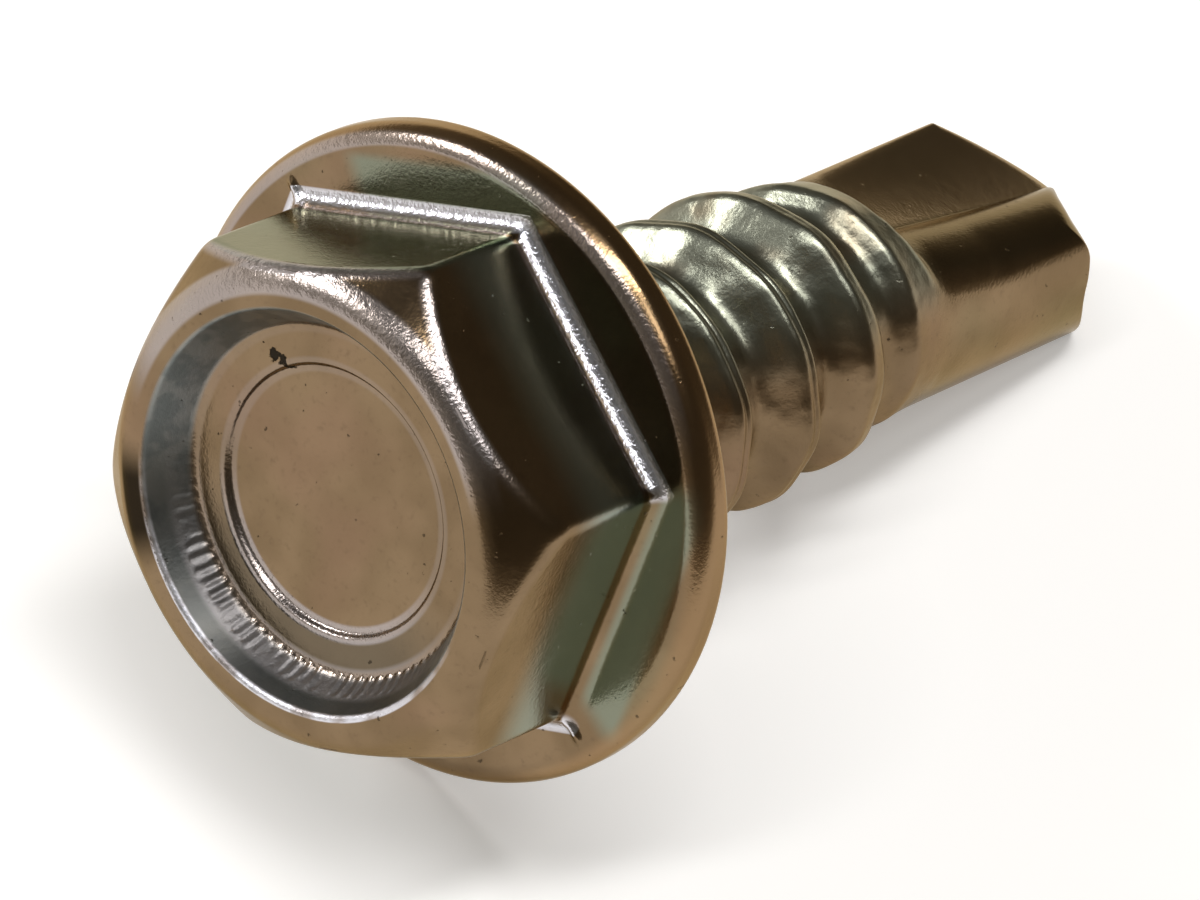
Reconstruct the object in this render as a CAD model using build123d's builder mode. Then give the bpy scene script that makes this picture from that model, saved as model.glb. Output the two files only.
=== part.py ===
from build123d import *
from math import acos, atan2, ceil, cos, hypot, radians, sin, tan
import os

# Self-drilling screw, No. 8 x 1/2 in, 18 threads per inch: indented hex washer head,
# rolled thread and a pinched two-flute drill point, headed and rolled from one wire.
# All lengths are in millimetres. The screw is modelled standing on its axis: Z runs from
# the head to the tip, Z = 0 is the bearing face under the washer, and X points to the
# middle of one flute. The last block lays it down as it rests, with +Z up.

# Hex head, above the washer
across_flats = 6.35
hex_height = 2.57
hex_edge_radius = 0.25
hex_foot_radius = 0.22
hex_turn = -4.9
crown_radius = 0.45
crown_slope = 46.0

# Indent in the top of the head, with a pressed pad in the middle of its floor; the rim is
# the flat ring between the indent and the crown
rim_width = 0.16
indent_radius = 2.64
indent_depth = 0.61
indent_floor_radius = 2.30
indent_lip_radius = 0.10
pad_radius = 1.74
pad_depth = 0.08

# Washer, and the fillet between its bearing face and the shank
washer_diameter = 8.65
washer_thickness = 0.62
washer_top_radius = 0.30
washer_bottom_radius = 0.17
neck_radius = 0.60

# Thread: its crest would cross the bearing face at thread_turn, if it ran that far
major_diameter = 4.06
thread_height = 0.54
pitch = 25.4 / 18
flank_angle = 35.0
crest_width = 0.16
thread_turn = 0.4
thread_start = 0.75
thread_fade_in = 0.90
thread_end = 8.20
thread_fade_out = 2.65
thread_bite = 0.15

# Drill point
drill_diameter = 3.40
drill_start = 6.60
drill_step_length = 0.60
screw_length = 12.40
point_angle = 96.0
flute_count = 2
flute_spread = 102.0
flute_start = 6.90
flute_full = 7.70
flute_full_depth = 0.62
flute_tip_depth = 1.46
valley_radius = 0.30

# Sizes that follow from the ones above
washer_radius = washer_diameter / 2
major_radius = major_diameter / 2
root_radius = major_radius - thread_height
drill_radius = drill_diameter / 2
washer_top = -washer_thickness
head_top = washer_top - hex_height
corner_radius = across_flats / 2 / cos(radians(30))
crown_start = indent_radius + rim_width + crown_radius * tan(radians(crown_slope / 2))
crown_end = corner_radius + hex_edge_radius
crown_drop = (crown_end - crown_start) * tan(radians(crown_slope))
shoulder = screw_length - drill_radius / tan(radians(point_angle / 2))
flute_edge = radians(flute_spread / 2)
snap = 0.001

with BuildPart() as thread:
    # A ridge swept turn by turn; each turn ends on the plane where the next one starts
    thread_base = crest_width + 2 * (thread_height + thread_bite) * tan(radians(flank_angle))
    first_turn = -pitch * thread_turn / 360
    for turn in range(ceil(thread_end / pitch) + 1):
        with BuildLine() as crest_path:
            Helix(pitch, pitch, root_radius, center=(0, 0, first_turn + turn * pitch))
        ridge_plane = Plane(
            origin=crest_path.line @ 0,
            x_dir=(1, 0, 0),
            z_dir=crest_path.line % 0,
        )
        with BuildSketch(ridge_plane):
            with BuildLine():
                Polyline(
                    (-thread_bite, -thread_base / 2),
                    (thread_height, -crest_width / 2),
                    (thread_height, crest_width / 2),
                    (-thread_bite, thread_base / 2),
                    close=True,
                )
            make_face()
        sweep(is_frenet=True)
    # The dies let the crest down to the wire at both ends of the rolled length
    with BuildSketch(Plane.XZ):
        with BuildLine():
            Polyline(
                (0, thread_start),
                (root_radius - thread_bite / 2, thread_start),
                (major_radius + thread_bite, thread_start + thread_fade_in),
                (major_radius + thread_bite, thread_end - thread_fade_out),
                (drill_radius - thread_bite / 2, thread_end),
                (0, thread_end),
                close=True,
            )
        make_face()
    revolve(axis=Axis.Z, mode=Mode.INTERSECT)


with BuildPart() as flute_cutter:
    edge_x = drill_radius * cos(flute_edge)
    edge_y = drill_radius * sin(flute_edge)
    # Height, depth of the valley, and the point that each wall passes just outside the wire
    stations = [
        (flute_start, -valley_radius / 4, drill_radius, 1.2 * edge_y),
        (flute_full, flute_full_depth, 1.01 * edge_x, 1.01 * edge_y),
        (screw_length, flute_tip_depth, 1.01 * edge_x, 1.01 * edge_y),
    ]
    for height, depth, wall_x, wall_y in stations:
        with BuildSketch(Plane.XY.offset(height)):
            with BuildLine():
                Polyline(
                    (drill_radius - depth, 0),
                    (wall_x, wall_y),
                    (2 * drill_radius, 2 * drill_radius),
                    (2 * drill_radius, -2 * drill_radius),
                    (wall_x, -wall_y),
                    close=True,
                )
            make_face()
            fillet(vertices().sort_by(Axis.X)[0], valley_radius)
    loft(ruled=True)

with BuildPart() as screw:
    # Hex head, with the crown that rounds its corners off towards the top
    with BuildSketch(Plane.XY.offset(head_top)):
        RegularPolygon(corner_radius, 6, rotation=hex_turn)
    extrude(amount=hex_height + washer_thickness / 2)
    fillet(edges().filter_by(Axis.Z), hex_edge_radius)
    with BuildSketch(Plane.XZ):
        with BuildLine():
            Polyline(
                (0, 0),
                (0, head_top),
                (crown_start, head_top),
                (crown_end, head_top + crown_drop),
                (crown_end, 0),
                close=True,
            )
        make_face()
        fillet(vertices().group_by(Axis.Y)[0].sort_by(Axis.X)[-1], crown_radius)
    revolve(axis=Axis.Z, mode=Mode.INTERSECT)

    # Washer
    with BuildSketch(Plane.XZ):
        with BuildLine():
            Polyline(
                (0, washer_top),
                (washer_radius, washer_top),
                (washer_radius, 0),
                (0, 0),
                close=True,
            )
        make_face()
        fillet(vertices().group_by(Axis.X)[-1].sort_by(Axis.Y)[0], washer_top_radius)
        fillet(vertices().group_by(Axis.X)[-1].sort_by(Axis.Y)[-1], washer_bottom_radius)
    revolve(axis=Axis.Z)
    hex_foot = edges().filter_by_position(Axis.Z, washer_top - snap, washer_top + snap)
    hex_foot = hex_foot.filter_by(lambda edge: edge.length < across_flats)
    fillet(hex_foot, hex_foot_radius)

    # Indent and its pad
    with BuildSketch(Plane.XZ):
        with BuildLine():
            Polyline(
                (0, head_top),
                (indent_radius, head_top),
                (indent_floor_radius, head_top + indent_depth),
                (pad_radius, head_top + indent_depth),
                (pad_radius, head_top + indent_depth + pad_depth),
                (0, head_top + indent_depth + pad_depth),
                close=True,
            )
        make_face()
    revolve(axis=Axis.Z, mode=Mode.SUBTRACT)
    top_edges = edges().filter_by_position(Axis.Z, head_top - snap, head_top + snap)
    fillet(top_edges.filter_by(GeomType.CIRCLE).sort_by(SortBy.RADIUS)[0], indent_lip_radius)

    # Shank: neck fillet, thread root, step up to the drill body, and the point's cone
    with BuildSketch(Plane.XZ):
        with BuildLine():
            neck_end = (root_radius, neck_radius)
            drill_full = drill_start + drill_step_length
            Line((0, washer_top / 2), (root_radius + neck_radius, washer_top / 2))
            Line((root_radius + neck_radius, washer_top / 2), (root_radius + neck_radius, 0))
            JernArc((root_radius + neck_radius, 0), (-1, 0), neck_radius, -90)
            Polyline(
                neck_end,
                (root_radius, drill_start),
                (drill_radius, drill_full),
                (drill_radius, shoulder),
                (0, screw_length),
                (0, washer_top / 2),
            )
        make_face()
    revolve(axis=Axis.Z)
    add(thread.part)
    with PolarLocations(0, flute_count):
        add(flute_cutter.part, mode=Mode.SUBTRACT)

# It comes to rest on the washer's rim and on the two edges of the lower flute, where the
# point's cone starts: dip is how far the axis then points below the horizontal
rim_span = washer_radius - washer_bottom_radius - drill_radius * cos(flute_edge)
rim_reach = shoulder + washer_bottom_radius
dip = acos(-washer_bottom_radius / hypot(rim_span, rim_reach)) - atan2(rim_reach, rim_span)
lying = Plane(
    origin=(0, 0, 0),
    x_dir=(sin(dip), 0, cos(dip)),
    z_dir=(cos(dip), 0, -sin(dip)),
)

with BuildPart() as tilted:
    with Locations(lying):
        add(screw.part)

with BuildPart() as resting:
    # The origin is on the surface that it lies on, under the middle of its bounding box
    box = tilted.part.bounding_box()
    with Locations((-box.center().X, -box.center().Y, -box.min.Z)):
        add(tilted.part)

os.makedirs("parts", exist_ok=True)
resting.part.label = "screw"
export_step(resting.part, "parts/screw.step")
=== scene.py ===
"""Self-drilling screw, No. 8, indented hex washer head, zinc plated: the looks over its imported
model.

The plated shell is one closed surface worked out on the screw standing on its axis, in
millimetres: Z runs from the head to the point, Z = 0 is the washer's bearing face, and the
angle 0 points to the middle of one flute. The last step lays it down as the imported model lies.
Names that end in TURN or TURNS, CROWN_SLOPE and FLANK_ANGLE are in degrees, and every other
angle is in radians.
"""
from math import cos, pi, radians, sin, tan

import bpy
import numpy as np
from mathutils import Matrix, Vector


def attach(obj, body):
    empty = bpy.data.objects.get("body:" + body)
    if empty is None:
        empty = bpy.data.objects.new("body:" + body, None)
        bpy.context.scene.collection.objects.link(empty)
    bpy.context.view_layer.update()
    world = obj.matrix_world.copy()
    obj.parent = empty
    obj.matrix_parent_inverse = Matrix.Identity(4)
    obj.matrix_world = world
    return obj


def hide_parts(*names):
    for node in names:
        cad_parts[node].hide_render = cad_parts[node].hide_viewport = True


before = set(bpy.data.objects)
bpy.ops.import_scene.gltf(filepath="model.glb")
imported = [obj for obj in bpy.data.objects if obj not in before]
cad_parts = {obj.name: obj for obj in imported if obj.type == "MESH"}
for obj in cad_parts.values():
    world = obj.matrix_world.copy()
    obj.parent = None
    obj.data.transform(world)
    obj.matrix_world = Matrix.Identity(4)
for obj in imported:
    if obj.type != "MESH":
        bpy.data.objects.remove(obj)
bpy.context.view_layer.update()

MM_PER_M = 1000

# Indent with its pressed pad
INDENT_RADIUS = 2.64
INDENT_FLOOR_RADIUS = 2.30
INDENT_DEPTH = 0.61
INDENT_FOOT_RADIUS = 0.16
INDENT_LIP_RADIUS = 0.11
PAD_RADIUS = 1.74
PAD_DEPTH = 0.08
PAD_WALL = 0.05
PAD_EDGE_RADIUS = 0.05

# Hex head. The crown's slope starts where a rounding of CROWN_START_RADIUS would leave the rim
ACROSS_FLATS = 6.35
HEX_HEIGHT = 2.57
HEX_TURN = -4.9
HEX_EDGE_RADIUS = 0.25
HEX_FOOT_RADIUS = 0.22
RIM_WIDTH = 0.16
RIM_CLEAR = 0.004
CROWN_RADIUS = 0.42
CROWN_SLOPE = 46.0
CROWN_START_RADIUS = 0.45
CROWN_START = INDENT_RADIUS + RIM_WIDTH + CROWN_START_RADIUS * tan(radians(CROWN_SLOPE / 2))
CROWN_FOOT_RADIUS = 0.22
CROWN_CORNER_RADIUS = 0.35
POLE_RADIUS = 0.02

# One corner of the crown came out fuller than the others
FULL_CORNER_TURN = HEX_TURN - 122
FULL_CORNER_HEIGHT = 0.19
FULL_CORNER_WIDTH = 0.28

# Washer and neck
WASHER_RADIUS = 4.3215
WASHER_THICKNESS = 0.62
WASHER_TOP_RADIUS = 0.30
WASHER_BOTTOM_RADIUS = 0.17
NECK_RADIUS = 0.60
NECK_OVERLAP = 0.02

# Flash: two spurs that stand on the washer and run out from corners of the hexagon
FLASH_TURNS = (HEX_TURN - 60, HEX_TURN + 120)
FLASH_HEIGHT = 0.05
FLASH_WIDTH = 0.014
FLASH_BEGINS = (3.62, 3.72)
FLASH_ENDS = (3.90, 4.08)
FLASH_BELOW = 0.1

# Thread
MAJOR_RADIUS = 2.03
ROOT_RADIUS = 1.49
PITCH = 25.4 / 18
FLANK_ANGLE = 35.0
CREST_WIDTH = 0.22
CREST_ROUND = 0.10
THREAD_TURN = 0.4
THREAD_START = 0.75
THREAD_FADE_IN = 0.90
THREAD_END = 8.20
THREAD_FADE_OUT = 2.65
START_ROUND = 0.10
END_ROUND = 0.12
ROOT_ROUND = 0.16

# The seam that the dies leave in the crest, and how far down it closes
CREST_SEAM = 0.035
SEAM_WIDTH = 0.045
SEAM_CLOSES = (3.0, 7.0)

# Chatter of the dies: each wave's share, waves round the shank, turn per length and phase
CHATTER = 0.014
CHATTER_WAVES = ((1.0, 7, 2.1, 1.3), (0.8, 12, -3.1, -0.7))
CHATTER_BEGINS = (0.8, 1.8)
CHATTER_ENDS = (6.4, 7.4)

# Drill point
DRILL_RADIUS = 1.65
DRILL_START = 6.60
DRILL_STEP = 0.60
DRILL_ROUND = 0.10
SCREW_LENGTH = 12.40

# Flutes. Their walls pass just outside the drill body: the shares are of its radius. UNCUT is
# farther out than any metal, and STEEPEST keeps the heel's wall finite beyond the heel
FLUTE_START = 7.03
FLUTE_RUN_IN = 0.45
FLUTE_FULL = 7.60
FLUTE_FULL_DEPTH = 0.50
FLUTE_TIP_DEPTH = 1.36
FLUTE_HALF_TURN = 80
HEEL_TURN = 52.0
HEEL_SHARE = 1.01
LIP_TURNS = (40.0, 53.0)
LIP_TURNS_AT = (FLUTE_START, FLUTE_FULL + 1.4)
LIP_SHARE = 1.02
LIP_FLARE = 2.0
LIP_FLARE_FROM = 0.85
WALL_CROWN = (1.3, 1.1)
WALL_CROWN_AT = (FLUTE_FULL, 11.6)
RUN_IN_SHARE = 1.25
VALLEY_ROUND = 0.10
EDGE_ROLL = 0.16
UNCUT = 9.0
STEEPEST = 0.2

# Rim between the drill body and the cone. The cone's slope at the rim changes round the point:
# humps of a turn, height and width, and ramps of two turns and a change between them
RIM_SLOPE = 1.06
RIM_HUMPS = ((-50, 0.08, 0.6), (25, 0.09, 0.28))
RIM_RAMPS = ((40, 62, -0.14), (76, 134, -0.5), (140, 190, 0.64))
RIM_FIRST_TURN = -170
RIM_RADIUS = 0.05
BENCH_CLEAR = 0.02
BENCH_ROUND = 0.15
TIP_CLEAR = 0.05
TIP_RADIUS = 0.01
TIP_ROUND = 0.004

# The shank sits a little aside of the head's axis
SWAY_TURN = 121.5
SWAY_AT_HEAD = 0.20
SWAY_PER_LENGTH = 0.016
SWAY_BEGINS = (0.1, 1.6)

# Columns round the head and the shank, how many degrees wide they close up at an edge, and by
# how much. The flutes' valleys get closer columns too
HEAD_COLUMNS = (336, 3.5, 2.4)
SHANK_COLUMNS = (252, 4.0, 1.4)
FINE_STEPS = 7201
VALLEY_TURN = 2

# Rows. A leg's first and last rows lie LEG_HOLD from its ends, or LEG_SHARE of a short leg
LEG_HOLD = 0.03
LEG_SHARE = 0.25
LEAST_LENGTH = 1e-6
NECK_ROWS = 9
RIM_ROWS = 5
POINT_ROWS = (20, 28)

# The thread's rows lie at these distances from its crest, in turns, and half a turn away. They
# wind between two level rings, and stop at a ring when they come within WINDING_GAP of it
CREST_STATIONS = (0, 0.018, 0.038, 0.062, 0.09, 0.125, 0.175, 0.23, 0.285, 0.34, 0.39, 0.445)
FIRST_WINDING = -2
WINDINGS = 9
WINDING_GAP = 0.012
WOUND_FROM = THREAD_START - 0.02
WOUND_TO = THREAD_END + 0.05

# Zones of the plate: low, high and softness of a band, or both ends of a step. ACROSS is
# square to a flat, OUT is from the axis, DOWN is along it, and ANGLE is round it
FOOT_ACROSS = (3.19, 3.37, 0.025)
FOOT_DOWN = (-0.86, -0.63, 0.02)
FOOT_MISSING_ANGLE = (1.0, 1.97, 0.05)
SHOULDER_OUT = (2.86, 3.16, 0.07)
SHOULDER_DOWN = (-3.0, -2.9)
CROWN_EDGE_ACROSS = (3.04, 3.14)
CROWN_EDGE_OFF = (0.04, 0.12)
CROWN_EDGE_DOWN = (-2.0, -1.9)
RIM_EDGE_OUT = (4.10, 4.22, 0.05)
RIM_EDGE_DOWN = (-0.55, -0.42)
INDENT_OUT = (2.62, 2.68)
INDENT_DOWN = (-2.45, -2.35)
WALL_OUT = (2.28, 2.36)
WALL_FOOT_OUT = (2.22, 2.46, 0.06)
PAD_EDGE_OUT = (1.68, 1.84, 0.05)
MOAT_OUT = (1.86, 2.20, 0.06)
WALL_DARK_OUT = (2.30, 2.36)
TICKS_OUT = (2.30, 2.43, 0.05)
TICKS_ROUND = 88
LIP_OUT = (2.63, 2.69, 0.025)
LIP_DOWN = (-3.1, -3.0)
LOW_LEFT = (0.1, 0.9)
LOW_LEFT_ANGLE = 2.9
THREAD_DOWN = (0.5, 7.4, 0.5)
UPHILL = (0.75, 1.35)
UPHILL_ANGLE = -0.25
UPPER = (1.0, 1.35)
UPPER_ANGLE = -0.45
FLAT_ACROSS = (3.15, 3.19, 0.02)
FLAT_DOWN = (-0.92, -0.84)
FLAT_GREENER_DOWN = (-2.3, -1.5)
TOP_FLAT_ANGLE = (-1.13, -0.09, 0.02)
BESIDE_ACROSS = (3.36, 3.80, 0.18)
BESIDE_ANGLES = ((-0.8, -0.1, 0.1), (1.0, 1.85, 0.1))
BESIDE_TOP = (-0.70, -0.64)
BESIDE_BOTTOM = (-0.55, -0.45)
WASHER_EDGE_OUT = (4.05, 4.25)
FLUTE_DOWN = (7.7, 13.0, 0.3)
FLUTE_OUT = (1.58, 1.66)
LIP_SIDE = (-0.12, 0.08)
# Where the crown's painted dark reflection lies
DARK_CROWN_OUT = (2.72, 2.96, 0.07)
DARK_CROWN_ANGLE = (-2.36, -2.14, 0.22)
DARK_CROWN_DOWN = (-2.9, -2.8)

# How rubbed or rough the edges are, and what is left of it off the indent's low left side. The
# three edges' wear lies on the top side only, where its grey is partly a painted highlight
SHOULDER_WEAR_AND_HIGHLIGHT = 0.7
CROWN_EDGE_WEAR_AND_HIGHLIGHT = 0.9
RIM_EDGE_WEAR_AND_HIGHLIGHT = 0.6
WALL_FOOT_ROUGH = 0.4
PAD_EDGE_ROUGH = 0.8
PRESSED_ELSEWHERE = 0.2

# The nick in the indent's floor: its middle, how fast it closes each way, and how ragged its
# edge is. The pits are where a fine cloud is densest
NICK_AT = (1.08, -1.6)
NICK_CLOSES = (8.0, 3.6)
NICK_EDGE = (1.75, 2.0)
NICK_RAGGED = 3.0
PITS_CLOUD = (7.0, 2.5, 0.6)
PITS_DENSE = (0.70, 0.76)

# Colours of the plate's film, some of them painted reflection, shade, light or highlight as marked
# below, its colour at a glancing angle, and its least roughness
STRAW = ((0.185, 0.126, 0.071), (0.232, 0.160, 0.093))
ROSY = (0.25, 0.155, 0.10)
OLIVE = (0.17, 0.162, 0.09)
MOTTLED = (0.13, 0.087, 0.052)
# Painted reflection: grey-green on the thread's top side
THREAD_TOP_REFLECTION_GREEN = (0.265, 0.285, 0.23)
# Painted reflections: green on the flats' lower part, darker on the top flat, and on the washer
# beside the flats
FLAT_FOOT_REFLECTION_GREEN = (0.27, 0.325, 0.29)
TOP_FLAT_REFLECTION_GREEN = (0.155, 0.20, 0.17)
WASHER_BESIDE_REFLECTION_GREEN = (0.205, 0.235, 0.18)
WALL_STEEL = ((0.17, 0.20, 0.205), (0.26, 0.28, 0.275))
# Painted shade: the indent wall's low left
WALL_PAINTED_SHADE = (0.05, 0.06, 0.066)
MOAT_BROWN = (0.095, 0.088, 0.07)
RIM_TAN = (0.31, 0.195, 0.10)
# Grey where rubbed, partly a painted highlight on the top side's edges
WEAR_AND_HIGHLIGHT_GREY = (0.47, 0.435, 0.445)
# Painted highlight: the white on the coined foot and the indent's lip
PAINTED_HIGHLIGHT_WHITE = (0.72, 0.72, 0.78)
# Painted light on the flutes' heel wall and painted shade on their lip wall
HEEL_PAINTED_LIGHT_TAN = (0.34, 0.26, 0.165)
LIP_PAINTED_SHADE_BROWN = (0.125, 0.098, 0.06)
# Painted dark reflection in a patch of the crown
CROWN_PAINTED_DARK_REFLECTION = (0.012, 0.009, 0.006)
PIT_BLACK = (0.03, 0.024, 0.018)
GLANCING = (0.8, 0.7, 0.55)
PLATE_HAZE = 0.13

# Room: colours of its air by height on the bright and on the dim side, the card that the
# screw lies on, and the lamps with their middle, width, length, glow and colour
BRIGHT_AIR = (
    (0.0, (0.40, 0.35, 0.28)),
    (0.15, (0.22, 0.20, 0.165)),
    (0.6, (0.12, 0.115, 0.10)),
    (0.9, (0.05, 0.05, 0.05)),
)
DIM_AIR = (
    (0.0, (0.42, 0.37, 0.29)),
    (0.09, (0.21, 0.18, 0.135)),
    (0.22, (0.10, 0.085, 0.062)),
    (0.6, (0.075, 0.066, 0.052)),
)
WINDOW_SIDE = 0.7
WINDOW_SIDE_STEP = (-0.1, 0.5)
CARD = (0.84, 0.83, 0.815)
CARD_LIFT = 0.38
CARD_HALF = 1
WHITE = (1, 1, 1)
LAMPS = {
    "window": ((-0.22, 0.38, 0.235), 0.19, 0.12, 14.0, WHITE),
    "window_glow": ((-0.40, 0.42, 0.28), 0.55, 0.34, 0.4, (1, 0.98, 0.95)),
    "left_strip": ((-0.168, 0.06, 0.40), 0.05, 0.16, 12.0, WHITE),
    "overhead": ((0.030, -0.145, 0.392), 0.13, 0.10, 4.0, WHITE),
    "top_strip": ((0.046, -0.01, 0.40), 0.07, 0.28, 14.0, WHITE),
}

# Camera
CAMERA_PLACE = (-0.08167061, -0.05457661, 0.11866696)
CAMERA_AZIMUTH = radians(-55.89047)
CAMERA_HEIGHT = radians(50.19843)
CAMERA_ROLL = radians(-15.91708)
CAMERA_LENS = 353.87
CAMERA_SENSOR = 36
CAMERA_NEAR = 0.001

# How it lies: how far the axis points below the horizontal, and where its zero comes to
LYING_DIP = radians(16.46387)
LYING_SHIFT = (-4.010188, 0.0, 4.110296)

WASHER_TOP = -WASHER_THICKNESS
HEAD_TOP = WASHER_TOP - HEX_HEIGHT
FACE_RADIUS = ACROSS_FLATS / 2


def column_angles(at_turns, count, dense_turn, dense_gain):
    """Angles of count columns round the axis. Their density is 1 plus a bell-shaped hump of
    dense_gain at each of at_turns, and equal shares of its running total give them."""
    fine = np.linspace(0, 2 * pi, FINE_STEPS)
    off = fine[:, None] - np.radians(at_turns)[None, :]
    off = (off + pi) % (2 * pi) - pi
    density = 1 + dense_gain * np.exp(-((off / radians(dense_turn)) ** 2)).sum(1)
    total = np.concatenate([[0], np.cumsum((density[1:] + density[:-1]) / 2)])
    return np.interp(np.arange(count) * total[-1] / count, total, fine)


def smooth_least(a, b, blend):
    """The lesser of a and b, with the crease between them rounded over the length blend."""
    near = np.clip(1 - np.abs(a - b) / blend, 0, 1)
    return np.minimum(a, b) - near * near * blend / 4


def smooth_most(a, b, blend):
    """The greater of a and b, with the crease between them rounded over the length blend."""
    return -smooth_least(-a, -b, blend)


def hump(distance, width):
    """A bell of height 1, e to the power of minus the square of distance over width."""
    return np.exp(-((distance / width) ** 2))


def ease(value, low, high):
    """0 below low, 1 above high, and a smooth S between them."""
    share = np.clip((value - low) / (high - low), 0, 1)
    return share * share * (3 - 2 * share)


def angle_from(angle, turn):
    """How far the angle is past the turn, the short way round."""
    return (angle - radians(turn) + pi) % (2 * pi) - pi


def rounded_profile(corners, radii, arc_steps, leg_steps):
    """Rows down a line of straight legs whose corners are rounded off, for every column.
    corners is (corner, column, 2) with a radius and a height. A corner of radius q between
    legs that turn by a starts q tan(a / 2) before it, and after turning by b the arc lies at
    that start plus q (sin b) along the first leg and q (1 - cos b) to the inside. Each leg
    has leg_steps rows, the first and the last of them close to its ends."""
    leg = corners[1:] - corners[:-1]
    leg = leg / np.linalg.norm(leg, axis=2, keepdims=True)
    rows = [corners[0]]
    begin = corners[0]
    for k in range(1, len(corners)):
        if k < len(corners) - 1:
            here, there = leg[k - 1], leg[k]
            cross = here[:, 0] * there[:, 1] - here[:, 1] * there[:, 0]
            turn = np.arctan2(cross, (here * there).sum(1))
            q = np.broadcast_to(radii[k - 1], turn.shape)
            end = corners[k] - (q * np.tan(np.abs(turn) / 2))[:, None] * here
            side = np.sign(turn)[:, None] * np.stack([-here[:, 1], here[:, 0]], 1)
        else:
            end = corners[k]
        length = np.linalg.norm(end - begin, axis=1)
        edge = np.minimum(LEG_SHARE, LEG_HOLD / np.maximum(length, LEAST_LENGTH))
        for step in range(leg_steps[k - 1]):
            share = edge + (1 - 2 * edge) * step / max(leg_steps[k - 1] - 1, 1)
            rows.append(begin + share[:, None] * (end - begin))
        if k == len(corners) - 1:
            rows.append(end)
            break
        for step in range(arc_steps[k - 1] + 1):
            b = np.abs(turn) * step / arc_steps[k - 1]
            along, inside = q * np.sin(b), q * (1 - np.cos(b))
            rows.append(end + along[:, None] * here + inside[:, None] * side)
        begin = rows[-1]
    return np.stack(rows)


class Shell:
    """Collects rings of points and the triangles between them, and closes them into a mesh."""

    def __init__(self):
        self.points, self.faces, self.count = [], [], 0

    def add(self, xyz):
        """Takes points of any grid shape and returns their numbers in that shape."""
        flat = xyz.reshape(-1, 3)
        self.points.append(flat)
        numbers = self.count + np.arange(len(flat)).reshape(xyz.shape[:-1])
        self.count += len(flat)
        return numbers

    def quads(self, a, b, c, d):
        """Two triangles for each four-sided patch a, b, c, d, less any that shrank to a line."""
        halves = np.stack([a, b, c], -1), np.stack([a, c, d], -1)
        tri = np.concatenate([half.reshape(-1, 3) for half in halves])
        whole = (tri[:, 0] != tri[:, 1]) & (tri[:, 1] != tri[:, 2]) & (tri[:, 2] != tri[:, 0])
        self.faces.append(tri[whole])

    def rings(self, grid):
        """Joins the rows of a grid of numbers whose columns close round the axis."""
        following = np.roll(grid, -1, 1)
        self.quads(grid[:-1], following[:-1], following[1:], grid[1:])

    def fan(self, ring, pole, first):
        """Closes a ring onto one point, which comes before the ring's row or after it."""
        following, middle = np.roll(ring, -1), np.full_like(ring, pole)
        corners = [middle, following, ring] if first else [ring, following, middle]
        self.faces.append(np.stack(corners, -1))

    def zip(self, upper, upper_angles, lower, lower_angles):
        """Joins two rings with their own numbers of columns: each edge of one ring gets the
        point of the other ring that has been passed when the edge ends."""
        ends = np.append(upper_angles[1:], 2 * pi)
        passed = np.searchsorted(lower_angles, ends, "left") - 1
        self.faces.append(np.stack([upper, np.roll(upper, -1), lower[passed]], -1))
        passed = np.append(np.searchsorted(upper_angles, lower_angles[1:], "right") - 1, 0)
        self.faces.append(np.stack([upper[passed], np.roll(lower, -1), lower], -1))

    def mesh(self, name):
        """The mesh in metres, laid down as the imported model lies, without unused points."""
        x, y, z = np.concatenate(self.points).T
        lying = np.stack(
            [
                x * sin(LYING_DIP) + z * cos(LYING_DIP) + LYING_SHIFT[0],
                -y + LYING_SHIFT[1],
                x * cos(LYING_DIP) - z * sin(LYING_DIP) + LYING_SHIFT[2],
            ],
            1,
        )
        used, faces = np.unique(np.concatenate(self.faces), return_inverse=True)
        faces = faces.reshape(-1, 3).astype(np.int32)
        lying = (lying[used] / MM_PER_M).astype(np.float32)
        data = bpy.data.meshes.new(name)
        data.vertices.add(len(lying))
        data.vertices.foreach_set("co", lying.ravel())
        data.loops.add(faces.size)
        data.loops.foreach_set("vertex_index", faces.ravel())
        data.polygons.add(len(faces))
        data.polygons.foreach_set("loop_start", np.arange(0, faces.size, 3, dtype=np.int32))
        data.polygons.foreach_set("loop_total", np.full(len(faces), 3, np.int32))
        data.polygons.foreach_set("use_smooth", np.ones(len(faces), bool))
        data.update(calc_edges=True)
        data.validate()
        return data


def hex_radius(angle):
    """Radius of the hexagon. Along a flat it is the half width over the cosine of the angle
    from the flat's middle, and round an edge it is where the ray leaves the edge's arc."""
    off = np.abs((angle - radians(HEX_TURN)) % radians(60) - radians(30))
    centre = (FACE_RADIUS - HEX_EDGE_RADIUS) / cos(radians(30))
    to_edge = radians(30) - off
    beyond = np.sqrt(np.maximum(HEX_EDGE_RADIUS**2 - (centre * np.sin(to_edge)) ** 2, 0))
    arc = centre * np.cos(to_edge) + beyond
    straight = off < np.arctan((FACE_RADIUS - HEX_EDGE_RADIUS) * tan(radians(30)) / FACE_RADIUS)
    return np.where(straight, FACE_RADIUS / np.cos(off), arc)


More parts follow.
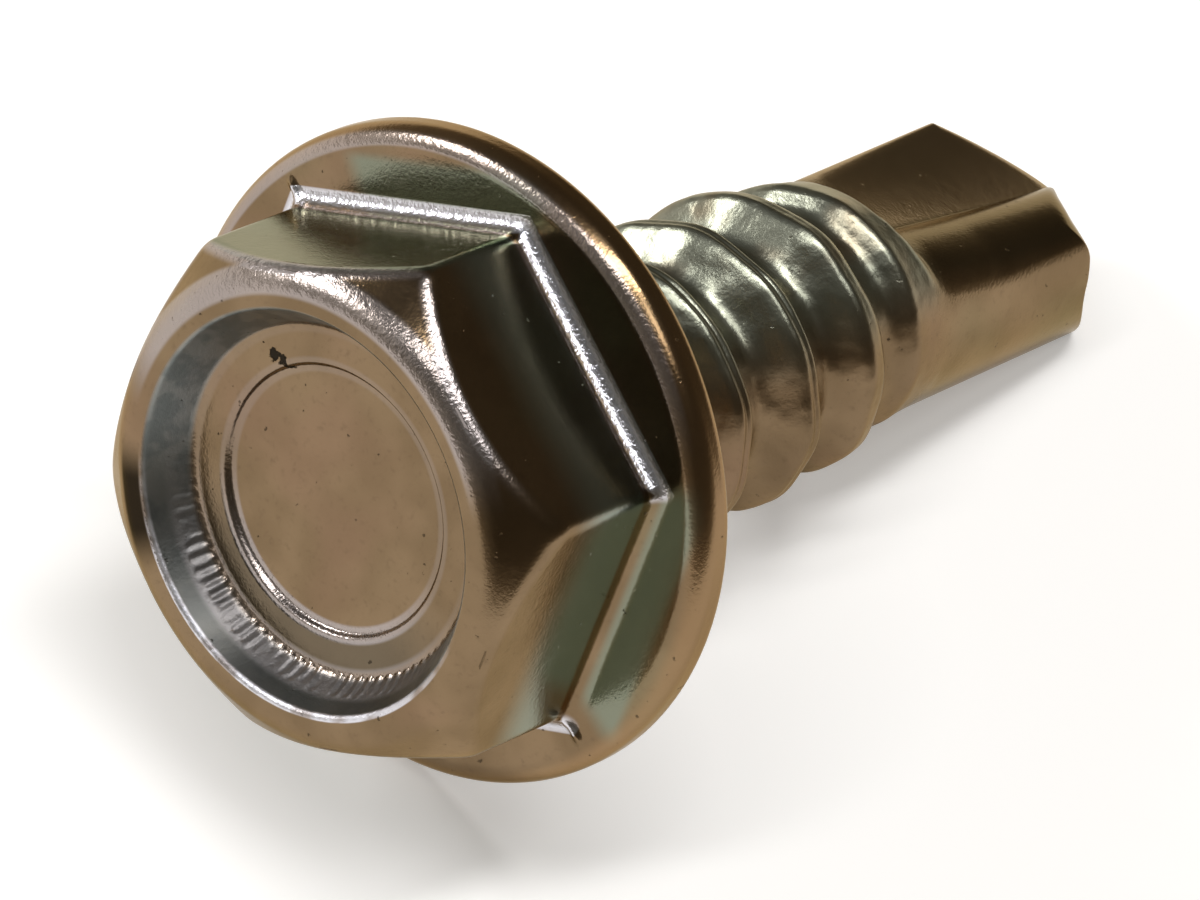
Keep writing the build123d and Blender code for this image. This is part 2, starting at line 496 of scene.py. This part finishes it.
def head_rows(angle):
    """The head's line from the middle of the pad over the rim, down a flat, out over the
    washer and back under it to the neck, with the hexagon's radius for each column. The full
    corner is raised by a bell of the angle. A spur is a bell of the angle too, and begins and
    ends with the radius."""
    across = hex_radius(angle)
    one = np.ones_like(angle)
    floor, rim = HEAD_TOP + INDENT_DEPTH, HEAD_TOP + RIM_CLEAR
    full = hump(angle_from(angle, FULL_CORNER_TURN), FULL_CORNER_WIDTH)
    crown_foot = HEAD_TOP + (across - CROWN_START) * tan(radians(CROWN_SLOPE))
    crown_foot = crown_foot - FULL_CORNER_HEIGHT * full
    spare = np.clip((across - FACE_RADIUS) / (1 / cos(radians(30)) - 1) / FACE_RADIUS, 0, 1)
    foot_radius = CROWN_FOOT_RADIUS + CROWN_CORNER_RADIUS * spare
    # Radius and height of a corner, how it is rounded, rows round it, and rows down to the next
    line = [
        (POLE_RADIUS * one, (floor + PAD_DEPTH) * one, None, 0, 5),
        (PAD_RADIUS * one, (floor + PAD_DEPTH) * one, PAD_EDGE_RADIUS, 3, 3),
        ((PAD_RADIUS + PAD_WALL) * one, floor * one, PAD_EDGE_RADIUS, 3, 4),
        (INDENT_FLOOR_RADIUS * one, floor * one, INDENT_FOOT_RADIUS, 6, 4),
        (INDENT_RADIUS * one, rim * one, INDENT_LIP_RADIUS, 6, 3),
        (CROWN_START * one, rim * one, CROWN_RADIUS, 7, 4),
        (across, crown_foot, foot_radius, 9, 8),
        (across, WASHER_TOP * one, HEX_FOOT_RADIUS, 8, 5),
        (WASHER_RADIUS * one, WASHER_TOP * one, WASHER_TOP_RADIUS, 9, 3),
        (WASHER_RADIUS * one, 0 * one, WASHER_BOTTOM_RADIUS, 7, 4),
        ((ROOT_RADIUS + NECK_RADIUS + NECK_OVERLAP) * one, 0 * one, None, 0, 0),
    ]
    corners = np.stack([np.stack([r, z], 1) for r, z, *_ in line])
    radii = [corner[2] for corner in line[1:-1]]
    arcs = [corner[3] for corner in line[1:-1]]
    legs = [corner[4] for corner in line[:-1]]
    rows = rounded_profile(corners, radii, arcs, legs)
    r, z = rows[..., 0], rows[..., 1]
    for turn in FLASH_TURNS:
        flash = hump(angle_from(angle, turn), FLASH_WIDTH)
        flash = flash * ease(r, *FLASH_BEGINS) * (1 - ease(r, *FLASH_ENDS))
        z -= FLASH_HEIGHT * flash * (z < WASHER_TOP + FLASH_BELOW)
    return rows


def thread_height(z, angle):
    """Height of the rolled thread over its root. A point's distance from the nearest crest
    is measured along the axis, and the ridge falls off on both sides of the crest's flat by
    the flanks' slope. It is cut down by the dies at both ends of the rolled length, and their
    chatter is a sum of sine waves that wind round the shank."""
    turns = z / PITCH - (angle - radians(THREAD_TURN)) / (2 * pi)
    from_crest = np.abs(turns - np.round(turns)) * PITCH
    full = MAJOR_RADIUS - ROOT_RADIUS
    flank = full - (from_crest - CREST_WIDTH / 2) / tan(radians(FLANK_ANGLE))
    seam = CREST_SEAM * hump(from_crest, SEAM_WIDTH) * (1 - ease(z, *SEAM_CLOSES))
    ridge = smooth_least(flank, full, CREST_ROUND) - seam
    start = (z - THREAD_START) / THREAD_FADE_IN * full
    end = (THREAD_END - z) / THREAD_FADE_OUT * full
    ridge = smooth_least(smooth_least(ridge, start, START_ROUND), end, END_ROUND)
    chatter = sum(
        share * np.sin(waves * angle + per_mm * z + phase)
        for share, waves, per_mm, phase in CHATTER_WAVES
    )
    chatter = CHATTER * chatter * ease(z, *CHATTER_BEGINS) * (1 - ease(z, *CHATTER_ENDS))
    return smooth_most(ridge, 0, ROOT_ROUND) + chatter


def flute_radius(z, angle):
    """How far out the metal reaches in a flute. On the heel side a ray from the axis meets a
    straight wall from the valley's bottom to the heel. On the lip side the wall is crowned:
    its radius grows from the valley's to the drill's as 1 - (1 - t) to a power WALL_CROWN,
    where t runs from 0 at the valley to 1 at the lip."""
    off = (angle + pi / 2) % pi - pi / 2
    start = FLUTE_START + PITCH * off / (2 * pi)
    begun = ease(z, start, start + FLUTE_RUN_IN)
    deep = np.interp(z, [FLUTE_FULL, SCREW_LENGTH], [FLUTE_FULL_DEPTH, FLUTE_TIP_DEPTH])
    valley = DRILL_RADIUS - deep
    heel_x, heel_y = (HEEL_SHARE * DRILL_RADIUS * part(radians(HEEL_TURN)) for part in (cos, sin))
    side = np.sqrt(np.sin(off) ** 2 + VALLEY_ROUND**2) - VALLEY_ROUND
    steep = np.maximum(heel_y * np.cos(off) - (heel_x - valley) * side, STEEPEST)
    heel = valley * heel_y / steep
    t = np.clip(off / np.radians(np.interp(z, LIP_TURNS_AT, LIP_TURNS)), 0, None)
    crown = np.interp(z, WALL_CROWN_AT, WALL_CROWN)
    rise = 1 - np.clip(1 - t, 0, 1) ** crown
    lip = valley + (LIP_SHARE * DRILL_RADIUS - valley) * rise
    lip = lip + LIP_FLARE * np.clip(t - LIP_FLARE_FROM, 0, None) ** 2
    cut = np.where(off > 0, lip, heel)
    cut = cut + (RUN_IN_SHARE * DRILL_RADIUS - valley) * (1 - begun)
    return np.where((z < start) | (np.abs(off) > radians(FLUTE_HALF_TURN)), UNCUT, cut)


def shank_radius(z, angle):
    """Radius of the shank: the root and the drill body with the step between them, the
    thread over it, and the flutes cut into both. The flutes' edges are rolled round."""
    step = ease(z, DRILL_START, DRILL_START + DRILL_STEP)
    body = ROOT_RADIUS + (DRILL_RADIUS - ROOT_RADIUS) * step
    threaded = smooth_most(body, ROOT_RADIUS + thread_height(z, angle), DRILL_ROUND)
    return smooth_least(threaded, flute_radius(z, angle), EDGE_ROLL)


def shank_sway(z):
    """How far the shank's axis is off the head's: it grows from nothing under the washer and
    runs out again towards the point."""
    return (SWAY_AT_HEAD - SWAY_PER_LENGTH * z) * ease(z, *SWAY_BEGINS)


def place(r, z, angle, sway=0.0):
    """Points of radius r and height z, round an axis that the dies pushed aside by sway."""
    aside = radians(SWAY_TURN)
    x, y = r * np.cos(angle) + sway * cos(aside), r * np.sin(angle) + sway * sin(aside)
    return np.stack([x, y, z + 0 * r], -1)


def shank_points(z, angle):
    """Points on the shank's surface."""
    return place(shank_radius(z, angle), z, angle, shank_sway(z))


def add_head(shell):
    """Adds the head's rows. Returns its last ring and the angles of its columns."""
    angle = column_angles(HEX_TURN + 60 * np.arange(6), *HEAD_COLUMNS)
    rows = head_rows(angle)
    head = shell.add(place(rows[..., 0], rows[..., 1], angle))
    pole = shell.add(np.array([[0, 0, rows[0, 0, 1]]]))
    shell.fan(head[0], pole[0], True)
    shell.rings(head)
    return head[-1], angle


def add_neck(shell, head, head_angle, angle):
    """Adds the fillet under the washer, a quarter circle in section. Returns its last ring."""
    quarter = np.linspace(0, pi / 2, NECK_ROWS)[:, None] + 0 * angle
    r = ROOT_RADIUS + NECK_RADIUS * (1 - np.sin(quarter))
    z = NECK_RADIUS * (1 - np.cos(quarter))
    neck = shell.add(place(r, z, angle, shank_sway(z)))
    shell.zip(head, head_angle, neck[0], angle)
    shell.rings(neck)
    return neck[-1]


def add_thread(shell, neck, angle):
    """Adds the rolled length, between two level rings, and returns the lower one. Each row
    keeps its distance from the crest all the way round, so row i of the last column is row
    i + per_turn of the first, and where a row passes a level ring it stops there."""
    half = np.array(CREST_STATIONS)
    stations = np.concatenate([-half[:0:-1], half, [0.5]])
    per_turn = len(stations)
    number = np.arange(FIRST_WINDING * per_turn, (FIRST_WINDING + WINDINGS + 1) * per_turn)
    wound = stations[number % per_turn] + number // per_turn
    around = np.append(angle, 2 * pi)
    z = PITCH * (wound[:, None] + (around[None, :] - radians(THREAD_TURN)) / (2 * pi))
    ends = shell.add(shank_points(np.array([[WOUND_FROM], [WOUND_TO]]), angle))
    rows = shell.add(shank_points(z[:, :-1], angle))
    index = np.concatenate([rows, np.roll(rows[:, :1], -per_turn, 0)], 1)
    first, last = (np.append(ring, ring[0])[None, :] for ring in ends)
    index = np.where(z > WOUND_TO - WINDING_GAP, last, index)
    index = np.where(z < WOUND_FROM + WINDING_GAP, first, index)[: WINDINGS * per_turn]
    shell.quads(index[:-1, :-1], index[:-1, 1:], index[1:, 1:], index[1:, :-1])
    shell.rings(np.stack([neck, ends[0]]))
    return ends[1:]


def rim_height(angle, tip):
    """Where the drill body ends and the cone starts: the drill's radius times the rim's slope
    above the tip, but not so far that it would reach the surface that the screw lies on."""
    turn = (np.degrees(angle) - RIM_FIRST_TURN) % 360 + RIM_FIRST_TURN
    slope = RIM_SLOPE
    for middle, height, width in RIM_HUMPS:
        slope = slope + height * hump(angle_from(angle, middle), width)
    for begin, end, change in RIM_RAMPS:
        slope = slope + change * ease(turn, begin, end)
    lying_height = LYING_SHIFT[2] + DRILL_RADIUS * np.cos(angle) * cos(LYING_DIP)
    bench = lying_height / sin(LYING_DIP)
    return smooth_least(tip - DRILL_RADIUS * slope, bench - BENCH_CLEAR, BENCH_ROUND)


def add_point(shell, thread_end, angle):
    """Adds the drill body from the thread's last ring to the rim, and the cone to the tip."""
    one = np.ones_like(angle)
    tip = SCREW_LENGTH - TIP_CLEAR
    line = [
        (DRILL_RADIUS * one, WOUND_TO * one),
        (DRILL_RADIUS * one, rim_height(angle, tip)),
        (TIP_RADIUS * one, tip * one),
    ]
    corners = np.stack([np.stack(corner, 1) for corner in line])
    rows = rounded_profile(corners, [RIM_RADIUS], [RIM_ROWS], POINT_ROWS)[1:]
    r, z = rows[..., 0], rows[..., 1]
    r = np.maximum(smooth_least(r, flute_radius(z, angle), EDGE_ROLL), TIP_ROUND)
    point = shell.add(place(r, z, angle, shank_sway(z)))
    pole_z = np.array([tip + TIP_ROUND])
    pole = shell.add(place(0 * pole_z, pole_z, 0 * pole_z, shank_sway(pole_z)))
    shell.rings(np.concatenate([thread_end, point]))
    shell.fan(point[-1], pole[0], False)


def plated_shell():
    """The whole screw as one closed surface: head, neck, thread rows that wind up the shank
    with the crest, and the drill point."""
    shell = Shell()
    head, head_angle = add_head(shell)
    edges = [LIP_TURNS[1], -HEEL_TURN, 180 + LIP_TURNS[1], 180 - HEEL_TURN]
    valleys = [VALLEY_TURN, 180 + VALLEY_TURN]
    angle = column_angles(edges + valleys, *SHANK_COLUMNS)
    neck = add_neck(shell, head, head_angle, angle)
    thread_end = add_thread(shell, neck, angle)
    add_point(shell, thread_end, angle)
    return shell.mesh("plated_screw")


class Wire:
    """One output of a node. Arithmetic on it adds the Math nodes that work it out."""

    def __init__(self, finish, socket):
        self.finish, self.socket = finish, socket

    def maths(self, operation, *others):
        """Another operation on this value, named as the Math node names it."""
        values = dict(enumerate((self, *others)))
        return self.finish.node("ShaderNodeMath", {"operation": operation}, values)

    def __add__(self, other):
        return self.maths("ADD", other)

    __radd__ = __add__

    def __sub__(self, other):
        return self.maths("SUBTRACT", other)

    def __rsub__(self, other):
        return self.maths("MULTIPLY", -1) + other

    def __mul__(self, other):
        return self.maths("MULTIPLY", other)

    __rmul__ = __mul__

    def __pow__(self, other):
        return self.maths("POWER", other)

    def most(self, other):
        return self.maths("MAXIMUM", other)

    def least(self, other):
        return self.maths("MINIMUM", other)

    def step(self, low, high):
        """0 below low, 1 above high, and a smooth S between them."""
        values = {"Value": self, "From Min": low, "From Max": high}
        return self.finish.node("ShaderNodeMapRange", {"interpolation_type": "SMOOTHSTEP"}, values)

    def fall(self, low, high):
        """1 below low, 0 above high, and a smooth S between them."""
        return 1 - self.step(low, high)

    def band(self, low, high, soft):
        """1 between low and high, fading out over soft on both sides."""
        return self.step(low - soft, low) * self.fall(high, high + soft)


class Finish:
    """The nodes of a material or of the world. Every one of them comes from node()."""

    def __init__(self, owner):
        owner.use_nodes = True
        self.owner, self.tree = owner, owner.node_tree
        self.tree.nodes.clear()

    def node(self, kind, settings=None, inputs=None, output=0):
        """Adds a node of a type: first its settings, then its sockets, which take a wire or a
        value. A ramp's stops are a list of (place, colour)."""
        made = self.tree.nodes.new(kind)
        for name, value in (settings or {}).items():
            if name == "stops":
                ramp = made.color_ramp
                for _ in range(len(value) - 2):
                    ramp.elements.new(0.5)
                for element, (stop, colour) in zip(ramp.elements, value):
                    element.position, element.color = stop, (*colour, 1)
            else:
                setattr(made, name, value)
        for key, value in (inputs or {}).items():
            if isinstance(value, Wire):
                self.tree.links.new(value.socket, made.inputs[key])
            elif isinstance(value, tuple) and made.inputs[key].type == "RGBA":
                made.inputs[key].default_value = (*value, 1)
            else:
                made.inputs[key].default_value = value
        return Wire(self, made.outputs[output]) if made.outputs else None

    def output(self, wire, name):
        """Another output of the node that the wire comes from."""
        return Wire(self, wire.socket.node.outputs[name])

    def mix(self, share, first, second):
        """The first colour, giving way to the second by share. The Mix node's sockets 0, 6
        and 7 are its factor and its two colours, and 2 is the colour that it gives."""
        colours = {0: share, 6: first, 7: second}
        return self.node("ShaderNodeMix", {"data_type": "RGBA"}, colours, 2)


class ZincPlate(Finish):
    """Bright zinc plate over cold-headed steel. Everything is placed by three lengths of the
    standing screw, worked out from Object coordinates: how far down the axis a point is, how
    far out from it, and at which angle round it."""

    def __init__(self):
        super().__init__(bpy.data.materials.new("zinc_plate"))
        self.where = self.node("ShaderNodeTexCoord", output="Object")
        split = self.node("ShaderNodeSeparateXYZ", {}, {0: self.where})
        x, y, z = (self.output(split, name) * MM_PER_M for name in "XYZ")
        x, z = x - LYING_SHIFT[0], z - LYING_SHIFT[2]
        self.flute_side = x * sin(LYING_DIP) + z * cos(LYING_DIP)
        self.lip_side = y * -1
        self.down = x * cos(LYING_DIP) - z * sin(LYING_DIP)
        self.out = (self.flute_side * self.flute_side + y * y) ** 0.5
        self.angle = self.lip_side.maths("ARCTAN2", self.flute_side)
        self.find_zones()
        bump = {"Strength": 1.0, "Distance": 0.001, "Height": self.relief()}
        looks = {
            "Base Color": self.film(),
            "Metallic": 1.0,
            "Roughness": self.haze(),
            "Specular Tint": GLANCING,
            "Normal": self.node("ShaderNodeBump", {}, bump),
        }
        skin = self.node("ShaderNodeBsdfPrincipled", {}, looks)
        self.node("ShaderNodeOutputMaterial", {}, {"Surface": skin})

    def cloud(self, per_mm, detail=2.0, rough=0.5):
        """Noise with that many lumps to the millimetre."""
        values = {"Scale": per_mm * MM_PER_M, "Detail": detail, "Roughness": rough}
        return self.node("ShaderNodeTexNoise", {}, {"Vector": self.where, **values})

    def find_zones(self):
        """Where things are. The distance from the axis square to the nearest flat tells the
        coined foot and the upper edge of the flats from the washer and the crown beside them."""
        down, out, angle = self.down, self.out, self.angle
        off_flat = (angle - radians(HEX_TURN)).maths("FLOORED_MODULO", pi / 3) - pi / 6
        self.across = out * off_flat.maths("COSINE")
        self.low_left = (angle - LOW_LEFT_ANGLE).maths("COSINE").step(*LOW_LEFT)
        self.thread = down.band(*THREAD_DOWN)
        self.uphill = (angle - UPHILL_ANGLE).maths("ABSOLUTE").fall(*UPHILL)
        self.in_indent = down.fall(*INDENT_DOWN) * out.fall(*INDENT_OUT)
        self.wall = self.in_indent * out.step(*WALL_OUT)

        self.foot = self.across.band(*FOOT_ACROSS) * down.band(*FOOT_DOWN)
        self.foot = self.foot * (1 - angle.band(*FOOT_MISSING_ANGLE))
        shoulder = out.band(*SHOULDER_OUT) * down.fall(*SHOULDER_DOWN)
        off_crown = down - HEAD_TOP - (out - CROWN_START) * tan(radians(CROWN_SLOPE))
        crown_edge = self.across.step(*CROWN_EDGE_ACROSS) * down.fall(*CROWN_EDGE_DOWN)
        crown_edge = crown_edge * off_crown.maths("ABSOLUTE").fall(*CROWN_EDGE_OFF)
        rim_edge = out.band(*RIM_EDGE_OUT) * down.fall(*RIM_EDGE_DOWN)
        # The edges' wear lies on the top side only, where its grey is partly a painted highlight
        upper = (angle - UPPER_ANGLE).maths("ABSOLUTE").fall(*UPPER)
        edges = shoulder * SHOULDER_WEAR_AND_HIGHLIGHT + crown_edge * CROWN_EDGE_WEAR_AND_HIGHLIGHT
        wear_and_highlight = self.foot + (edges + rim_edge * RIM_EDGE_WEAR_AND_HIGHLIGHT) * upper
        self.lip = out.band(*LIP_OUT) * down.fall(*LIP_DOWN) * self.low_left
        pressed = out.band(*WALL_FOOT_OUT) * WALL_FOOT_ROUGH
        pressed = pressed + out.band(*PAD_EDGE_OUT) * PAD_EDGE_ROUGH
        least = PRESSED_ELSEWHERE
        pressed = self.in_indent * pressed * (self.low_left * (1 - least) + least)
        self.grainy = (wear_and_highlight + self.lip + pressed).least(1.0)

        away = ((self.flute_side - NICK_AT[0]) * NICK_CLOSES[0]) ** 2
        away = away + ((self.lip_side - NICK_AT[1]) * NICK_CLOSES[1]) ** 2
        self.nick = self.in_indent * (away + self.cloud(11.0) * NICK_RAGGED).fall(*NICK_EDGE)
        self.pits = self.cloud(*PITS_CLOUD).step(*PITS_DENSE)

    def film(self):
        """Colour: a straw film, turning rosy and olive in patches, blue-grey on the indent's wall,
        and dark brown in the moat round the pad on the indent's low left. Painted reflections turn
        it grey-green on the thread's top side and on the lower part of the flats, and a darker
        green on the top flat and on the washer beside the flats. Painted shade darkens the wall's
        low left and the flutes' lip side, a painted dark reflection blackens a patch of the crown,
        and painted light makes the flutes' heel side tan. It is grey where rubbed, partly a
        painted highlight on the top side's edges, and painted highlights whiten the coined foot
        and the indent's lip."""
        down, out, angle, cloud = self.down, self.out, self.angle, self.cloud
        # Zones of painted reflections: the flats and the washer beside them
        flat = self.across.band(*FLAT_ACROSS) * down.fall(*FLAT_DOWN)
        beside = self.across.band(*BESIDE_ACROSS) * down.step(*BESIDE_TOP)
        beside = beside * down.fall(*BESIDE_BOTTOM)
        beside = beside * (angle.band(*BESIDE_ANGLES[0]) + angle.band(*BESIDE_ANGLES[1]))
        steel = self.mix(cloud(3.0).step(0.4, 0.6), *WALL_STEEL)
        # Painted shade on the wall's low left
        steel = self.mix(self.low_left * out.step(*WALL_DARK_OUT) * 0.85, steel, WALL_PAINTED_SHADE)
        moat = self.in_indent * out.band(*MOAT_OUT) * self.low_left
        # Painted highlight: the coined foot and a broken line along the indent's lip
        bright = (self.foot + self.lip * cloud(3.0).step(0.36, 0.56)).least(1.0)
        # Flute walls: painted light on the heel side, painted shade on the lip side
        in_flute = down.band(*FLUTE_DOWN) * out.fall(*FLUTE_OUT)
        walls = self.mix((angle * 2).maths("SINE").step(*LIP_SIDE), HEEL_PAINTED_LIGHT_TAN, LIP_PAINTED_SHADE_BROWN)
        # A patch of painted dark reflection on the crown
        dark = out.band(*DARK_CROWN_OUT) * angle.band(*DARK_CROWN_ANGLE)
        # Each coat's zone, how much of the zone it covers, and its colour
        coats = [
            (cloud(0.55, 1.0).step(0.52, 0.72), 0.4, ROSY),
            (cloud(0.42, 1.5).step(0.55, 0.75), 0.4, OLIVE),
            (cloud(10.0, 3.0, 0.65).step(0.52, 0.8), 0.45, MOTTLED),
            # Painted reflection: grey-green on the thread's top side
            (self.thread * self.uphill * cloud(1.2).step(0.1, 0.5), 0.85, THREAD_TOP_REFLECTION_GREEN),
            # Painted reflections: green on the flats' lower part, darker on the top flat, and on
            # the washer beside them
            (flat * down.step(*FLAT_GREENER_DOWN), 0.8, FLAT_FOOT_REFLECTION_GREEN),
            (flat * angle.band(*TOP_FLAT_ANGLE), 0.9, TOP_FLAT_REFLECTION_GREEN),
            (beside, 0.8, WASHER_BESIDE_REFLECTION_GREEN),
            # Blue-grey wall, with painted shade on its low left
            (self.wall, 0.85, steel),
            (moat, 0.6, MOAT_BROWN),
            (out.step(*WASHER_EDGE_OUT), 0.6, RIM_TAN),
            # Grey where rubbed, partly a painted highlight on the top side's edges
            (self.grainy, 0.75, WEAR_AND_HIGHLIGHT_GREY),
            # Painted highlight on the coined foot and the indent's lip
            (bright, 0.9, PAINTED_HIGHLIGHT_WHITE),
            # Painted light on the flutes' heel wall, painted shade on their lip wall
            (in_flute, 0.8, walls),
            # Painted dark reflection on the crown
            (dark * down.fall(*DARK_CROWN_DOWN), 0.95, CROWN_PAINTED_DARK_REFLECTION),
            ((self.pits * 0.6).most(self.nick), 1.0, PIT_BLACK),
        ]
        film = self.mix(cloud(0.9).step(0.35, 0.65), *STRAW)
        for zone, share, colour in coats:
            film = self.mix(zone * share, film, colour)
        return film

    def haze(self):
        """Roughness: near a mirror, with a coarser and a finer haze, duller where the dies
        dragged."""
        added = [
            (self.cloud(1.6), 0.07),
            (self.cloud(14.0), 0.05),
            (self.pits, 0.2),
            (self.grainy, 0.10),
            (self.foot, -0.06),
            (self.thread, 0.11),
            (self.wall, 0.24),
            (self.nick, 0.3),
        ]
        return sum((zone * amount for zone, amount in added), PLATE_HAZE)

    def relief(self):
        """Height in millimetres: the plate's grain, a faint ripple, and pits. The grain is
        coarse on the worked corners, the thread is lumpy, and ticks run down the foot of the
        indent's wall."""
        cloud = self.cloud
        ticks = (self.angle * TICKS_ROUND).maths("SINE") * self.in_indent
        ticks = ticks * self.out.band(*TICKS_OUT) * self.low_left
        heights = [
            (cloud(22.0, rough=0.6), 0.0022),
            (cloud(5.0, 1.0), 0.002),
            (cloud(11.0, rough=0.6) * (self.grainy - self.foot * 0.2), 0.012),
            (cloud(2.6, 1.0) * self.thread, 0.026),
            (ticks * cloud(2.4).step(0.3, 0.6), 0.012),
            (cloud(9.0, rough=0.6) * self.thread * self.uphill, 0.004),
            (self.pits, -0.003),
            (self.nick, -0.03),
        ]
        return sum(zone * height for zone, height in heights)


def floor_card():
    """Matt pale card. Rays from the camera and from gloss see it a step paler than the lamps
    alone make it, and the object's shadow stays on it."""
    finish = Finish(bpy.data.materials.new("floor_card"))
    path = finish.node("ShaderNodeLightPath")
    seen = finish.output(path, "Is Camera Ray").most(finish.output(path, "Is Glossy Ray"))
    seen = seen.most(finish.output(path, "Is Transmission Ray"))
    card = finish.node("ShaderNodeBsdfDiffuse", {}, {"Color": CARD})
    lift = finish.node("ShaderNodeEmission", {}, {"Color": CARD, "Strength": seen * CARD_LIFT})
    both = finish.node("ShaderNodeAddShader", {}, {0: card, 1: lift})
    finish.node("ShaderNodeOutputMaterial", {}, {"Surface": both})
    return finish.owner


def add_object(name, data):
    made = bpy.data.objects.new(name, data)
    bpy.context.scene.collection.objects.link(made)
    return made


def soft_box(name, middle, width, length, glow, colour):
    """A rectangular lamp that faces the screw. glow is how bright it looks; 1 is white."""
    lamp = bpy.data.lights.new(name, "AREA")
    lamp.shape, lamp.size, lamp.size_y = "RECTANGLE", width, length
    lamp.energy, lamp.color = glow * pi * width * length, colour
    made = add_object(name, lamp)
    made.location = middle
    made.rotation_euler = (-Vector(middle)).to_track_quat("-Z", "Y").to_euler()


def studio_air():
    """A warm dim room: pale at the horizon on the window's side, and falling off to dark with
    height and on the far side."""
    finish = Finish(bpy.data.worlds.new("studio"))
    split = finish.node("ShaderNodeSeparateXYZ", {}, {0: finish.node("ShaderNodeTexCoord")})
    x, y, height = (finish.output(split, name) for name in "XYZ")
    bright = finish.node("ShaderNodeValToRGB", {"stops": BRIGHT_AIR}, {0: height})
    dim = finish.node("ShaderNodeValToRGB", {"stops": DIM_AIR}, {0: height})
    window_side = (y * WINDOW_SIDE - x * WINDOW_SIDE).step(*WINDOW_SIDE_STEP)
    colour = finish.mix(window_side, dim, bright)
    air = finish.node("ShaderNodeBackground", {}, {"Color": colour, "Strength": 1.0})
    finish.node("ShaderNodeOutputWorld", {}, {"Surface": air})
    bpy.context.scene.world = finish.owner


def rolled_camera():
    """The camera looks down by its height along its azimuth, and is then rolled about its line
    of sight."""
    lens = bpy.data.cameras.new("camera")
    lens.sensor_width, lens.lens, lens.clip_start = CAMERA_SENSOR, CAMERA_LENS, CAMERA_NEAR
    made = add_object("camera", lens)
    sideways = cos(CAMERA_HEIGHT)
    back = Vector(
        (sin(CAMERA_AZIMUTH) * sideways, -cos(CAMERA_AZIMUTH) * sideways, sin(CAMERA_HEIGHT))
    )
    level = Vector((cos(CAMERA_AZIMUTH), sin(CAMERA_AZIMUTH), 0))
    upright = back.cross(level)
    right = cos(CAMERA_ROLL) * level - sin(CAMERA_ROLL) * upright
    up = sin(CAMERA_ROLL) * level + cos(CAMERA_ROLL) * upright
    turned = Matrix((right, up, back)).transposed().to_4x4()
    made.matrix_world = Matrix.Translation(CAMERA_PLACE) @ turned
    bpy.context.scene.camera = made


rolled_camera()

plated = add_object("plated_screw", plated_shell())
plated.data.materials.append(ZincPlate().owner)
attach(plated, "root")
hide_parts("screw")

corners = [(x * CARD_HALF, y * CARD_HALF, 0) for x, y in ((-1, -1), (1, -1), (1, 1), (-1, 1))]
floor_mesh = bpy.data.meshes.new("floor")
floor_mesh.from_pydata(corners, [], [(0, 1, 2, 3)])
floor_mesh.materials.append(floor_card())
add_object("floor", floor_mesh)

studio_air()
for lamp_name, lamp_values in LAMPS.items():
    soft_box(lamp_name, *lamp_values)

bpy.context.scene.view_settings.view_transform = "Standard"
